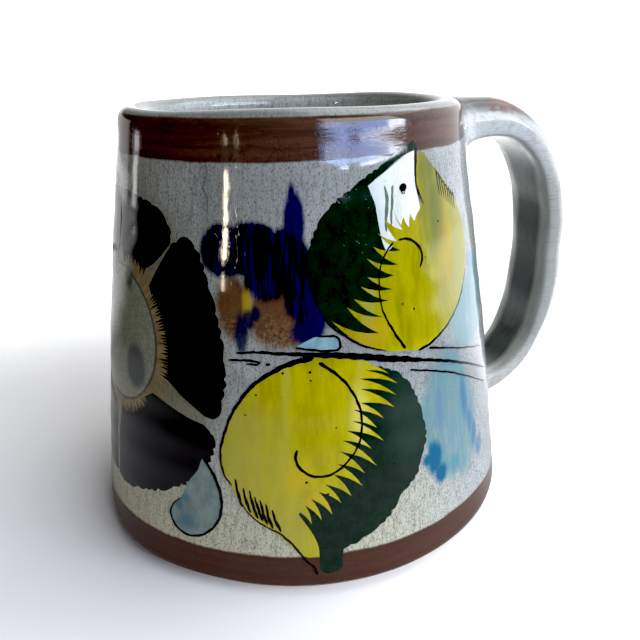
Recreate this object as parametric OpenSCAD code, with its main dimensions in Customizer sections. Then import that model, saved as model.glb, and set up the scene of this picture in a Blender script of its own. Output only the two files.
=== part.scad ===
// Painted stoneware mug: a tapered drinking mug with a strap handle.
// The foot stands on z = 0, the mug's axis is Z and the handle points along +X.
// The clay body, foot and handle are separate solids. The glaze and slip coats
// are thin shells that lie face to face on them.

/* [Body] */
// Height from the table to the top of the lip
mug_h = 92; // [84:1:105]
// Diameter that the tapering wall reaches when it is carried down to the table
base_d = 100; // [92:1:110]
// Diameter that the tapering wall reaches when it is carried up to the lip's level
rim_d = 73; // [66:1:82]
// How far the wall bellies out of a straight taper at mid height
belly = 0.8; // [0:0.1:1.5]
// Thickness of the lip, glaze included
lip_t = 5.6; // [4.4:0.2:6.4]
// Wall thickness at the level of the floor, glaze included
wall_base_t = 7; // [5:0.5:8]
// Height of the drinking surface of the floor above the table
floor_z = 9; // [7:0.5:12]
// Radius of the inside corner between wall and floor
floor_corner_r = 8; // [4:1:12]
// Radius of the outside corner between wall and foot
heel_r = 3.5; // [3:0.5:5]

/* [Foot] */
// Height of the unglazed foot ring
foot_h = 2.4; // [1.6:0.2:3]
// Width of the flat that stands on the table
foot_flat_w = 4; // [3:0.5:6]
// Height of the upright edge of the foot ring, above its bevel
foot_edge_h = 0.9; // [0.4:0.1:1.4]
// How far the bevel undercuts the foot ring
foot_bevel = 2.4; // [1:0.2:3]

/* [Glaze and slip] */
// Thickness of every glaze and slip coat
coat_t = 0.6; // [0.3:0.1:0.8]
// Height at which the brown band above the foot ends
foot_band_top_z = 8.8; // [6:0.2:12]
// Height at which the brown band under the lip begins
rim_band_z = 83.4; // [76:0.2:86]
// How far the brown band climbs round the lip, as an angle above the horizontal
rim_band_climb = 36; // [20:1:60]

/* [Handle] */
// Distance from the mug's axis to the outermost point of the handle
handle_reach = 72.8; // [70:0.2:80]
// Thickness of the strap at its outermost point, glaze included
strap_t = 7.8; // [6.4:0.2:10]
// Width of the strap, glaze included
strap_w = 16.6; // [13:0.2:20]
// Level of the outermost point of the handle
handle_mid_z = 51; // [46:1:56]
// Depth of the strap where it leaves the body near the lip
upper_root_h = 11.2; // [9:0.2:13]
// Depth of the strap where it comes back to the body
lower_root_h = 7.2; // [6:0.2:10]
// Level of the underside of the handle at its lower root
lower_root_z = 12; // [10:0.2:14]
// How far the top of the handle lies below the lip
handle_drop = 1; // [0.7:0.1:3]

/* [Hidden] */
$fn = 96;

clay_colour = "burlywood";
glaze_colour = "lightslategray";
lip_colour = "silver";
brown_colour = "saddlebrown";
wall_steps = 12;
arc_steps = 8;

// Outer radius of the glazed wall at height z
function wall_r(z) =
    let (s = z / mug_h) (base_d * (1 - s) + rim_d * s) / 2 + 4 * belly * s * (1 - s);
// Angle by which the wall leans inward at height z
function lean(z) = atan2(wall_r(z) - wall_r(z + 0.01), 0.01);
// Points of the wall from height z0 to z1, with the coat peeled off by inset
function wall_line(z0, z1, inset, steps) =
    [for (i = [0:steps]) let (z = z0 + (z1 - z0) * i / steps) [wall_r(z) - inset, z]];
// Points of an arc about centre c, from angle a0 to a1
function arc(c, r, a0, a1, steps) =
    [for (i = [0:steps]) let (a = a0 + (a1 - a0) * i / steps) c + r * [cos(a), sin(a)]];
function reverse(points) = [for (i = [len(points) - 1:-1:0]) points[i]];

// Lip: a half round of radius lip_r about lip_c
lip_r = lip_t / 2;
lip_lean = lean(mug_h - lip_r);
lip_z = mug_h - lip_r + lip_r * sin(lip_lean);
lip_c = [wall_r(lip_z) - lip_r * cos(lip_lean), mug_h - lip_r];
// Inside wall, from the lip down to the rounded corner of the floor
floor_r = wall_r(floor_z) - wall_base_t;
inner_lean = atan2(floor_r - lip_c[0] + lip_r, mug_h - lip_r - floor_z);
corner_c = [floor_r - floor_corner_r * (1 + sin(inner_lean)) / cos(inner_lean),
    floor_z + floor_corner_r];
// Heel: the rounded outside corner, which the coat follows down to the foot ring
heel_lean = lean(heel_r);
heel_top_z = heel_r + heel_r * sin(heel_lean);
heel_c = [wall_r(heel_top_z) - heel_r * cos(heel_lean), heel_r];
heel_end = asin((foot_h - heel_r) / heel_r);
heel_inner_end = asin((foot_h - heel_r) / (heel_r - coat_t));
// Outer radius of the foot ring, under the edge of the coat
foot_r = heel_c[0] + (heel_r - coat_t) * cos(heel_inner_end);

// Outline of one skin of the mug: coat = 0 is the glazed surface, coat = coat_t is the clay under it
function heel_line(coat) =
    arc(heel_c, heel_r - coat, coat == 0 ? heel_end : heel_inner_end, heel_lean, arc_steps);
function foot_band_line(coat) =
    concat(heel_line(coat), wall_line(heel_top_z + 0.3, foot_band_top_z, coat, 2));
function mid_wall_line(coat) = wall_line(foot_band_top_z, rim_band_z, coat, wall_steps);
function rim_band_line(coat) =
    concat(wall_line(rim_band_z, lip_z - 0.3, coat, 2),
        arc(lip_c, lip_r - coat, lip_lean, rim_band_climb, arc_steps / 2));
function lip_line(coat) =
    arc(lip_c, lip_r - coat, rim_band_climb, 180 + inner_lean, 2 * arc_steps);
function liner_line(coat) =
    concat([lip_c + (lip_r - coat) * [cos(180 + inner_lean), sin(180 + inner_lean)]],
        arc(corner_c, floor_corner_r + coat, inner_lean, -90, arc_steps), [[0, floor_z - coat]]);

// A coat of glaze or slip between the glazed surface and the clay
module coat(surface_line, clay_line) {
    rotate_extrude() polygon(concat(surface_line, reverse(clay_line)));
}

// Handle: x and z of the strap's inner and outer faces follow a superellipse.
// Each face runs along X from the upper joint, round the bend and back to the lower joint.
root_gap = 3.6;
upper_x = wall_r(mug_h - handle_drop - upper_root_h / 2) + root_gap;
lower_x = wall_r(lower_root_z + lower_root_h / 2) + root_gap - 1;
bend_x = 47;
bend_steps = 18;
section_steps = 16;
stub_rise = 1.9;
upper_top_z = mug_h - handle_drop;
outer_bend = 2.05;
inner_bend = 2.5;
function bend_point(a, b, n, phi) =
    [bend_x + a * pow(cos(phi), 2 / n), handle_mid_z + b * sign(phi) * pow(abs(sin(phi)), 2 / n)];
// Angle at which the lower half of a face comes back to the lower joint
function end_angle(a, n) = -acos(pow((lower_x - bend_x) / a, n / 2));
// One face of the strap: a stub to the bend, the upper quarter and the lower quarter
function face(a, top, bottom, n, root_z) =
    let (last = end_angle(a, n))
    concat([[upper_x, root_z], [(upper_x + bend_x) / 2, (root_z + top) / 2]],
        [for (i = [0:bend_steps]) bend_point(a, top - handle_mid_z, n, 90 - 90 * i / bend_steps)],
        [for (i = [1:bend_steps])
            bend_point(a, handle_mid_z - bottom, n, last * i / bend_steps)]);
function outer_face(coat) =
    face(handle_reach - bend_x - coat, upper_top_z - coat, lower_root_z + coat, outer_bend,
        upper_top_z - coat);
function inner_face(coat) =
    face(handle_reach - strap_t - bend_x + coat, upper_top_z - upper_root_h + stub_rise + coat,
        lower_root_z + lower_root_h - coat, inner_bend, upper_top_z - upper_root_h + coat);
// The strap's section is flat on the finger side and crowned on the outside
flat_share = 0.3;
function signed_pow(v, e) = sign(v) * pow(abs(v), e);
function section_point(p, q, w, psi) =
    let (s = sin(psi), side = signed_pow(cos(psi), s < 0 ? 0.5 : 0.8),
        depth = s < 0 ? flat_share * (1 - pow(-s, 0.5)) : flat_share + (1 - flat_share) * s,
        c = p + (q - p) * depth)
    [c[0], side * w / 2, c[1]];
module strap(coat) {
    inside = inner_face(coat);
    outside = outer_face(coat);
    rings = len(inside);
    points = [for (i = [0:rings - 1]) for (k = [0:section_steps - 1])
        section_point(inside[i], outside[i], strap_w - 2 * coat, 360 * (k + 0.5) / section_steps)];
    sides = [for (i = [0:rings - 2]) for (k = [0:section_steps - 1])
        let (next = (k + 1) % section_steps, a = i * section_steps, b = a + section_steps)
        each [[a + k, b + k, b + next], [a + k, b + next, a + next]]];
    polyhedron(points, concat(sides, [[for (k = [0:section_steps - 1]) k]],
        [[for (k = [section_steps - 1:-1:0]) (rings - 1) * section_steps + k]]), convexity = 6);
}

// The block of luting clay at a root of the handle, as a rounded bar along X
root_corner_r = 3.5;
module root_bar(z0, depth, x1) {
    x0 = lip_c[0];
    w = strap_w - 2 * root_corner_r;
    translate([x0, 0, z0]) rotate([90, 0, 90]) linear_extrude(x1 - x0) {
        translate([-w / 2, 0]) square([w, depth]);
        translate([-strap_w / 2, root_corner_r]) square([strap_w, depth - 2 * root_corner_r]);
        for (y = [-w / 2, w / 2]) for (z = [root_corner_r, depth - root_corner_r])
            translate([y, z]) circle(root_corner_r);
    }
}
module upper_root(x1) {
    root_bar(upper_top_z - upper_root_h, upper_root_h, x1);
}
module lower_root(x1) {
    root_bar(lower_root_z, lower_root_h, x1);
}
module root_windows() {
    upper_root(handle_reach);
    lower_root(handle_reach);
}
// Half of the clay body's section, from the underside round the wall and lip to the floor
module clay_section() {
    polygon(concat([[0, foot_h]], foot_band_line(coat_t), mid_wall_line(coat_t),
        rim_band_line(coat_t), lip_line(coat_t), liner_line(coat_t)));
}
// The clay body with its hollow filled, which the joints are cut back from
module clay_envelope() {
    rotate_extrude() {
        clay_section();
        polygon([[0, foot_h], [floor_r + coat_t, floor_z], lip_c, [lip_c[0], mug_h], [0, mug_h]]);
    }
}

module clay_body() {
    color(clay_colour) rotate_extrude() clay_section();
}
module foot_ring() {
    stand_r = foot_r - foot_bevel;
    color(clay_colour) rotate_extrude() polygon([[stand_r, 0], [foot_r, foot_h - foot_edge_h],
        [foot_r, foot_h], [stand_r - foot_flat_w, foot_h], [stand_r - foot_flat_w, 0]]);
}
module liner_glaze() {
    color(glaze_colour) coat(liner_line(0), liner_line(coat_t));
}
module lip_glaze() {
    color(lip_colour) difference() {
        coat(lip_line(0), lip_line(coat_t));
        root_windows();
    }
}
module rim_band() {
    color(brown_colour) difference() {
        coat(rim_band_line(0), rim_band_line(coat_t));
        root_windows();
    }
}
module wall_glaze() {
    color(glaze_colour) difference() {
        coat(mid_wall_line(0), mid_wall_line(coat_t));
        root_windows();
    }
}
module foot_band() {
    color(brown_colour) coat(foot_band_line(0), foot_band_line(coat_t));
}
module handle_core() {
    color(clay_colour) strap(coat_t);
}
module handle_glaze() {
    color(glaze_colour) difference() {
        strap(0);
        strap(coat_t);
    }
}
module upper_joint() {
    color(glaze_colour) difference() {
        upper_root(upper_x);
        clay_envelope();
    }
}
module lower_joint() {
    color(glaze_colour) difference() {
        lower_root(lower_x);
        clay_envelope();
    }
}

clay_body();
foot_ring();
liner_glaze();
lip_glaze();
rim_band();
wall_glaze();
foot_band();
handle_core();
handle_glaze();
upper_joint();
lower_joint();
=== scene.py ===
"""Looks of the painted stoneware mug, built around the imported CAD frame.

Lengths are in millimetres until MM turns them into metres. The mug's axis is Z, the handle points
along +X and the foot stands on z = 0.
"""

import math

import bpy
import numpy as np
from mathutils import Matrix, Vector
from mathutils.geometry import delaunay_2d_cdt


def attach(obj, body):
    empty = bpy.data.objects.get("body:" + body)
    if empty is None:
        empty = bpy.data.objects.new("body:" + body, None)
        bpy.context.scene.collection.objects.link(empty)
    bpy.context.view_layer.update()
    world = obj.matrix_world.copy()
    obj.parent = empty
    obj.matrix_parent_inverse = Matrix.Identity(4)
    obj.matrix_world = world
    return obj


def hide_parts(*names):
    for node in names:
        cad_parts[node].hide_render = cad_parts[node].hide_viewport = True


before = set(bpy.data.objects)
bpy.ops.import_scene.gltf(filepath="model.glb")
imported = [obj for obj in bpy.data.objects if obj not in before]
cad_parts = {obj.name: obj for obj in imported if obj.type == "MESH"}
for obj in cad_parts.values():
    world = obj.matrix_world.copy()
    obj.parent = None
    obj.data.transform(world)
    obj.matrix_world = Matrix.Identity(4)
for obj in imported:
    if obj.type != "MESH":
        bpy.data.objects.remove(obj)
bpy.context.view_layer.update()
MM = 0.001


# ---------------------------------------------------------------- the mug's proportions, as in the CAD
MUG_H = 92.0
BASE_D = 100.0
RIM_D = 73.0
BELLY = 0.8
LIP_R = 2.8
WALL_BASE_T = 7.0
FLOOR_Z = 9.0
FLOOR_CORNER_R = 8.0
HEEL_R = 3.5
FOOT_H = 2.4
COAT_T = 0.6
FOOT_BAND_TOP = 10.5
RIM_BAND_FROM = 82.5
RIM_BAND_CLIMB = 36.0

HANDLE_REACH = 72.8
STRAP_T = 7.8
STRAP_W = 16.6
HANDLE_MID_Z = 51.0
BEND_X = 47.0
UPPER_TOP_Z = 91.0
UPPER_ROOT_H = 11.2
LOWER_ROOT_H = 7.2
LOWER_ROOT_Z = 12.0
STUB_RISE = 1.9
OUTER_BEND = 2.05
INNER_BEND = 2.5

FOOT_BULGE = 1.3
FOOT_BULGE_AZIMUTH = math.radians(-151)

# The painting is laid out on the unrolled wall: s runs round the mug from the big flower's centre,
# in millimetres at a radius of PAINT_R, and z is the height.
PAINT_R = 43.0
FLOWER_AZIMUTH = math.radians(-165)
BACK_STRETCH = 1.1


def wall_r(z):
    """Outer radius of the glazed wall at height z."""
    s = z / MUG_H
    return (BASE_D * (1 - s) + RIM_D * s) / 2 + 4 * BELLY * s * (1 - s)


def lean(z):
    """Angle by which the wall leans inward at height z, in radians."""
    return math.atan2(wall_r(z) - wall_r(z + 0.01), 0.01)


def arc(centre, radius, a0, a1, steps):
    """Points of an arc about centre, from angle a0 to a1 in radians."""
    angles = np.linspace(a0, a1, steps + 1)
    return [(centre[0] + radius * math.cos(a), centre[1] + radius * math.sin(a)) for a in angles]


LIP_LEAN = lean(MUG_H - LIP_R)
LIP_Z = MUG_H - LIP_R + LIP_R * math.sin(LIP_LEAN)
LIP_C = (wall_r(LIP_Z) - LIP_R * math.cos(LIP_LEAN), MUG_H - LIP_R)
FLOOR_R = wall_r(FLOOR_Z) - WALL_BASE_T
INNER_LEAN = math.atan2(FLOOR_R - LIP_C[0] + LIP_R, MUG_H - LIP_R - FLOOR_Z)
CORNER_C = (
    FLOOR_R - FLOOR_CORNER_R * (1 + math.sin(INNER_LEAN)) / math.cos(INNER_LEAN),
    FLOOR_Z + FLOOR_CORNER_R,
)
HEEL_LEAN = lean(HEEL_R)
HEEL_TOP_Z = HEEL_R + HEEL_R * math.sin(HEEL_LEAN)
HEEL_C = (wall_r(HEEL_TOP_Z) - HEEL_R * math.cos(HEEL_LEAN), HEEL_R)
HEEL_END = math.asin((FOOT_H - HEEL_R) / HEEL_R)


# ---------------------------------------------------------------- hand-made irregularity of the pot
def wobble(theta, z):
    """How far the thrown wall departs from a true cone: ovality, soft throwing rings and slow waves."""
    oval = 0.16 * np.sin(2 * theta + 0.7) + 0.07 * np.sin(3 * theta + 0.03 * z)
    rings = 0.035 * np.sin(z / 1.15 + 0.8 * np.sin(theta)) + 0.05 * np.sin(z / 3.1 + 0.5 * np.sin(2 * theta))
    waves = 0.05 * np.sin(7 * theta + z / 9.0) + 0.03 * np.sin(11 * theta - z / 6.0)
    return oval + rings + waves


def rim_wave(theta, z):
    """The lip is not quite level: it rises and falls a little round the mug."""
    share = np.clip((z - 70) / 22, 0, 1) ** 2
    return share * (0.16 * np.sin(3 * theta + 0.4) + 0.12 * np.sin(5 * theta - 1.0) - 0.2)


def foot_spread(theta, z):
    """The foot is a little out of round: it reaches further out at the front left."""
    turn = np.mod(theta - FOOT_BULGE_AZIMUTH + math.pi, 2 * math.pi) - math.pi
    return FOOT_BULGE * np.exp(-(turn / 0.30) ** 2) * np.clip(1 - z / 40, 0, 1) ** 2


def pot_point(theta, r, z):
    """Place of a point of the pot's skin, in millimetres, with the irregularity added."""
    amount = np.clip(z / 6, 0, 1)
    outside = np.clip((r - 44) / 2, 0, 1)
    radius = r + wobble(theta, z) * amount * np.clip(r / 20, 0, 1) + foot_spread(theta, z) * outside
    return np.stack([radius * np.cos(theta), radius * np.sin(theta), z + rim_wave(theta, z)], -1)


def unit(v):
    """The vectors at length 1."""
    return v / np.maximum(np.linalg.norm(v, axis=-1, keepdims=True), 1e-12)


def wall_point(theta, z, lift=0.0):
    """Point and normal of the outer wall at an azimuth and a height, lifted along the normal."""
    h = 0.02
    p = pot_point(theta, wall_r(z), z)
    across = pot_point(theta + h / 40, wall_r(z), z) - pot_point(theta - h / 40, wall_r(z), z)
    up = pot_point(theta, wall_r(z + h), z + h) - pot_point(theta, wall_r(z - h), z - h)
    n = unit(np.cross(across, up))
    return p + n * lift, n


# ---------------------------------------------------------------- mesh helpers
def placed(name, data):
    """A new object of the scene that shows the data."""
    obj = bpy.data.objects.new(name, data)
    bpy.context.scene.collection.objects.link(obj)
    return obj


def new_mesh(name, points, faces, normals=None, body="root", replaced=()):
    """A mesh object from points in millimetres, smooth shaded, with its own normals if given."""
    mesh = bpy.data.meshes.new(name)
    mesh.from_pydata([tuple(p) for p in (np.asarray(points) * MM).tolist()], [], faces)
    mesh.validate()
    mesh.polygons.foreach_set("use_smooth", [True] * len(mesh.polygons))
    mesh.update()
    if normals is not None:
        mesh.normals_split_custom_set_from_vertices([tuple(n) for n in np.asarray(normals).tolist()])
    obj = placed(name, mesh)
    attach(obj, body)
    if replaced:
        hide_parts(*replaced)
    return obj


# The pot's whole skin as one profile, from the foot's edge up the wall, over the lip and down to the floor
def skin_profile():
    """Points (r, z) of the skin and the index at which each region starts."""
    marks = {}
    line = []
    marks["foot_band"] = 0
    line += arc(HEEL_C, HEEL_R, HEEL_END, HEEL_LEAN, 10)
    line += [(wall_r(z), z) for z in np.arange(HEEL_TOP_Z + 0.6, FOOT_BAND_TOP - 0.3, 0.8)]
    marks["wall"] = len(line)
    line += [(wall_r(z), z) for z in np.arange(FOOT_BAND_TOP, RIM_BAND_FROM - 0.4, 0.9)]
    marks["rim_band"] = len(line)
    line += [(wall_r(z), z) for z in np.arange(RIM_BAND_FROM, LIP_Z - 0.3, 0.8)]
    line += arc(LIP_C, LIP_R, LIP_LEAN, math.radians(RIM_BAND_CLIMB), 6)
    marks["lip"] = len(line)
    line += arc(LIP_C, LIP_R, math.radians(RIM_BAND_CLIMB + 6), math.pi + INNER_LEAN, 26)
    marks["liner"] = len(line)
    top = line[-1]
    corner = arc(CORNER_C, FLOOR_CORNER_R, INNER_LEAN, -math.pi / 2, 14)
    steps = 56
    for i in range(1, steps):
        f = i / steps
        line.append((top[0] + (corner[0][0] - top[0]) * f, top[1] + (corner[0][1] - top[1]) * f))
    line += corner
    line += [(r, FLOOR_Z) for r in np.arange(CORNER_C[0] - 1.6, 0.5, -1.6)]
    marks["end"] = len(line)
    return np.array(line), marks


PROFILE, MARKS = skin_profile()
THETA_STEPS = 320
THETA = np.arange(THETA_STEPS + 1) * 2 * math.pi / THETA_STEPS
SKIN = pot_point(THETA[None, :], PROFILE[:, 0:1], PROFILE[:, 1:2] + 0 * THETA[None, :])


def skin_normals(grid):
    """Outward normals of the skin, from the grid's own differences; the grid closes on itself."""
    across = np.roll(grid[:, :-1], -1, 1) - np.roll(grid[:, :-1], 1, 1)
    across = np.concatenate([across, across[:, :1]], 1)
    along = np.gradient(grid, axis=0)
    return unit(np.cross(across, along))


NORMALS = skin_normals(SKIN)


def skin_piece(name, first, last, th0, th1, replaced=(), closed_end=False):
    """A closed shell, COAT_T thick, cut from the skin between two rows and two columns of the grid."""
    rows = np.arange(MARKS[first], min(MARKS[last] + 1, MARKS["end"]))
    ring = th1 - th0 == THETA_STEPS
    cols = np.arange(th0, th1) if ring else np.arange(th0, th1 + 1)
    outer = SKIN[np.ix_(rows, cols)]
    normal = NORMALS[np.ix_(rows, cols)]
    inner = outer - normal * COAT_T
    nr, nc = len(rows), len(cols)
    points = np.concatenate([outer.reshape(-1, 3), inner.reshape(-1, 3)])
    normals = np.concatenate([normal.reshape(-1, 3), -normal.reshape(-1, 3)])
    back = nr * nc
    faces = []
    span = nc if ring else nc - 1
    for i in range(nr - 1):
        for j in range(span):
            a, b = i * nc + j, i * nc + (j + 1) % nc
            c, d = b + nc, a + nc
            faces.append((a, b, c, d))
            faces.append((back + d, back + c, back + b, back + a))
    for j in range(span):
        a, b = j, (j + 1) % nc
        faces.append((b, a, back + a, back + b))
        if not closed_end:
            a, b = (nr - 1) * nc + j, (nr - 1) * nc + (j + 1) % nc
            faces.append((a, b, back + b, back + a))
    if not ring:
        for i in range(nr - 1):
            a, d = i * nc, (i + 1) * nc
            faces.append((a, d, back + d, back + a))
            a, d = i * nc + nc - 1, (i + 1) * nc + nc - 1
            faces.append((d, a, back + a, back + d))
    if closed_end:
        centre = outer[-1].mean(0)
        points = np.concatenate([points, [centre], [centre - (0, 0, COAT_T)]])
        normals = np.concatenate([normals, [(0, 0, 1)], [(0, 0, -1)]])
        for j in range(span):
            a, b = (nr - 1) * nc + j, (nr - 1) * nc + (j + 1) % nc
            faces.append((a, b, 2 * back))
            faces.append((back + b, back + a, 2 * back + 1))
    return new_mesh(name, points, faces, normals, replaced=replaced)


# ---------------------------------------------------------------- painting: outlines on the unrolled wall
def curve(points, closed=False, step=0.5):
    """Smooth curve through the points, sampled about every step millimetres."""
    p = np.array(points, float)
    n = len(p)
    out = []
    for i in range(n if closed else n - 1):
        p0 = p[(i - 1) % n] if closed or i > 0 else 2 * p[0] - p[1]
        p1, p2 = p[i], p[(i + 1) % n]
        p3 = p[(i + 2) % n] if closed or i + 2 < n else 2 * p[n - 1] - p[n - 2]
        steps = max(int(np.linalg.norm(p2 - p1) / step), 1)
        for f in np.arange(steps) / steps:
            out.append(0.5 * (2 * p1 + (p2 - p0) * f + (2 * p0 - 5 * p1 + 4 * p2 - p3) * f * f
                              + (3 * p1 - p0 - 3 * p2 + p3) * f ** 3))
    if not closed:
        out.append(p[-1])
    return np.array(out)


def run_length(p):
    """Length along the curve up to each of its points."""
    return np.concatenate([[0], np.cumsum(np.linalg.norm(np.diff(p, axis=0), axis=1))])


def brushed(p, seed, size):
    """The same curve with a slight tremor across it, as a brush edge has."""
    along = run_length(p)
    t = np.gradient(p, axis=0)
    n = unit(np.stack([-t[:, 1], t[:, 0]], -1))
    tremor = (np.sin(along * 2.1 + seed) + np.sin(along * 4.7 + 2.3 * seed) * 0.7
              + np.sin(along * 0.9 + 1.7 * seed) * 0.8)
    return p + n * (tremor * size)[:, None]


def scalloped(points, pitch, depth, seed=0.0):
    """Curve with rounded scallops bulging to its left, as a loaded brush leaves side by side."""
    p = curve(points, step=0.3)
    along = run_length(p)
    t = np.gradient(p, axis=0)
    n = unit(np.stack([-t[:, 1], t[:, 0]], -1))
    phase = along / pitch + 0.35 * np.sin(along / pitch * 1.7 + seed)
    bulge = np.abs(np.sin(math.pi * phase)) ** 0.7
    return p + n * ((bulge - 0.5) * depth * (1 + 0.35 * np.sin(along * 0.8 + seed)))[:, None]


def teeth(tips, valleys):
    """Zigzag between tips and valleys, each flank slightly hollow; it starts and ends on a tip."""
    out = []
    for i in range(len(tips)):
        tip = np.array(tips[i])
        out.append(tip)
        if i < len(valleys):
            valley = np.array(valleys[i])
            after = np.array(tips[i + 1]) if i + 1 < len(tips) else tip
            for a, b in ((tip, valley), (valley, after)):
                across = np.array([-(b - a)[1], (b - a)[0]])
                for f in (0.25, 0.5, 0.75):
                    out.append(a + (b - a) * f + across * 0.07 * math.sin(math.pi * f)
                               * (1 if a is tip else -1) * -1)
                if b is valley:
                    out.append(valley)
    return np.array(out)


def feathered(points, pitch, length, seed=0.0):
    """Fine hairs of a dry brush along a curve, pointing to its left, each of its own length."""
    p = curve(points, step=0.1)
    along = run_length(p)
    t = np.gradient(p, axis=0)
    n = unit(np.stack([-t[:, 1], t[:, 0]], -1))
    out = []
    for k in range(int(along[-1] / pitch)):
        root = np.array([np.interp(k * pitch, along, p[:, i]) for i in (0, 1)])
        middle = (k + 0.5) * pitch
        tip = np.array([np.interp(middle, along, p[:, i] + n[:, i] * length * (
            0.62 + 0.26 * math.sin(k * 2.4 + seed) + 0.12 * math.sin(k * 5.3 + seed))) for i in (0, 1)])
        out += [root, tip]
    return np.array(out)


def line(points, widths, seed=0.0):
    """A brush or pen line: its points and its width at each, interpolated along its length."""
    p = brushed(curve(points, step=0.4), seed, 0.035)
    along = run_length(p)
    at = np.linspace(0, along[-1], len(widths))
    w = np.interp(along, at, widths) * (1 + 0.12 * np.sin(along * 2.3 + seed))
    return ("line", p, w)


def area(*runs):
    """A filled shape from runs of points laid end to end."""
    return ("area", np.concatenate([np.asarray(r, float) for r in runs]))


def ellipse(s, z, a, b, tilt=0.0, steps=20):
    """A filled ellipse about (s, z), tilted by an angle in radians."""
    t = np.arange(steps) / steps * 2 * math.pi
    c, d = math.cos(tilt), math.sin(tilt)
    x, y = a * np.cos(t), b * np.sin(t)
    return ("area", np.stack([s + x * c - y * d, z + x * d + y * c], -1))


def upper_wing():
    """The raised wing: dark green leading edge, white panel, yellow field with long teeth."""
    edge = scalloped([(49.4, 55.8), (48.0, 58.6), (46.5, 62.5), (46.2, 66.6), (47.2, 70.2), (49.2, 74.0),
                      (51.8, 76.4), (54.8, 78.2), (58.0, 80.1), (61.2, 81.6), (64.6, 83.4), (68.2, 85.1),
                      (70.9, 85.7)], 2.3, 0.36, 1.0)
    green = area(edge, [(71.5, 85.2), (71.5, 83.8), (70.6, 83.9)],
                 curve([(69.8, 84.1), (66.0, 82.8), (62.6, 80.9), (60.0, 79.3), (60.2, 76.0), (61.6, 71.0),
                        (66.4, 69.0), (67.2, 64.0), (65.0, 57.6), (61.6, 51.4), (57.6, 50.6), (52.6, 53.2)]))
    white = area(curve([(58.9, 78.9), (61.4, 80.2), (64.8, 81.9), (68.0, 83.4), (70.6, 84.1)]),
                 curve([(70.9, 83.6), (70.4, 80.5), (70.6, 76.5), (71.4, 73.0)]),
                 [(69.0, 70.5), (65.0, 68.6)],
                 curve([(62.0, 67.0), (61.2, 69.0), (60.7, 72.0), (60.2, 75.6)]))
    tips = [(50.2, 55.9), (53.2, 58.1), (54.6, 59.5), (56.0, 61.6), (57.5, 63.1), (57.6, 66.4),
            (59.1, 68.3), (60.3, 70.6), (62.1, 72.8), (64.1, 75.0), (66.6, 72.6), (68.4, 73.0), (70.9, 73.4)]
    valleys = [(59.3, 52.5), (60.2, 55.4), (61.8, 58.2), (62.7, 60.2), (63.2, 62.6), (64.4, 64.4),
               (65.2, 66.9), (64.6, 68.6), (66.2, 70.4), (65.9, 71.2), (67.9, 70.6), (69.4, 71.6)]
    yellow = area(teeth(tips, valleys),
                  curve([(71.6, 74.6), (70.8, 77.5), (71.0, 81.0), (71.8, 83.6), (73.2, 83.6), (75.2, 81.6),
                         (78.2, 79.2), (81.2, 76.4), (83.8, 73.4), (85.8, 70.0), (86.8, 66.0), (86.5, 62.0),
                         (85.2, 58.4), (82.8, 55.1), (79.4, 52.1), (75.4, 49.7), (71.2, 48.1), (68.0, 47.6),
                         (65.0, 48.0), (62.0, 48.5), (58.6, 49.6), (55.2, 51.4), (52.4, 53.6)]))
    ticks = [line([(77.0 + 0.85 * i, 79.7 - 0.66 * i), (77.35 + 0.8 * i, 77.2 - 0.6 * i),
                   (77.5 + 0.8 * i, 75.4 - 0.52 * i)], (0.42, 0.34, 0.16), i) for i in range(8)]
    ink = ticks + [
        line([(76.6, 80.4), (79.2, 77.6), (81.6, 75.4), (83.4, 74.0)], (0.2, 0.3, 0.3, 0.2), 3),
        line([(67.8, 47.4), (71.2, 48.0), (75.6, 49.6), (79.6, 52.0), (83.2, 55.2), (85.8, 59.2)],
             (0.5, 0.5, 0.42, 0.36, 0.3, 0.12), 5),
        line([(49.4, 55.6), (52.0, 53.4), (55.0, 51.2), (58.0, 49.8), (60.4, 49.0)],
             (0.3, 0.4, 0.36, 0.3, 0.16), 6),
        line([(64.7, 48.5), (62.6, 51.8), (60.9, 55.0), (60.0, 58.0), (59.8, 61.0), (60.4, 64.6),
              (61.8, 67.0), (63.6, 68.5)], (0.62, 0.52, 0.44, 0.34, 0.3, 0.3, 0.34, 0.4), 7),
        line([(64.9, 68.7), (66.6, 68.8), (68.8, 67.9), (70.1, 66.4), (70.5, 64.8), (69.7, 63.0)],
             (0.4, 0.5, 0.56, 0.6, 0.56, 0.5), 8),
        line([(71.3, 84.6), (70.7, 81.6), (70.5, 78.6), (71.1, 76.6), (72.2, 74.4)],
             (0.9, 0.6, 0.4, 0.5, 0.16), 9),
        ellipse(67.0, 77.9, 0.95, 0.72, 0.2),
        line([(66.4, 77.4), (66.7, 76.9), (67.2, 76.9), (67.5, 77.4)], (0.2, 0.26, 0.26, 0.2), 2)]
    shade = [line([(62.6, 78.6), (62.9, 76.0), (62.5, 73.4), (62.2, 70.6)], (0.4, 0.8, 0.7, 0.4), 4),
             line([(64.4, 78.5), (64.1, 75.6), (63.6, 72.8), (63.4, 70.4)], (0.5, 0.6, 0.5, 0.3), 1),
             line([(72.7, 76.0), (72.9, 73.6), (72.7, 71.6)], (0.5, 1.3, 0.5), 1)]
    return {"green": [green], "white": [white], "yellow": [yellow], "ink": ink, "shade": shade}


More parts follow.
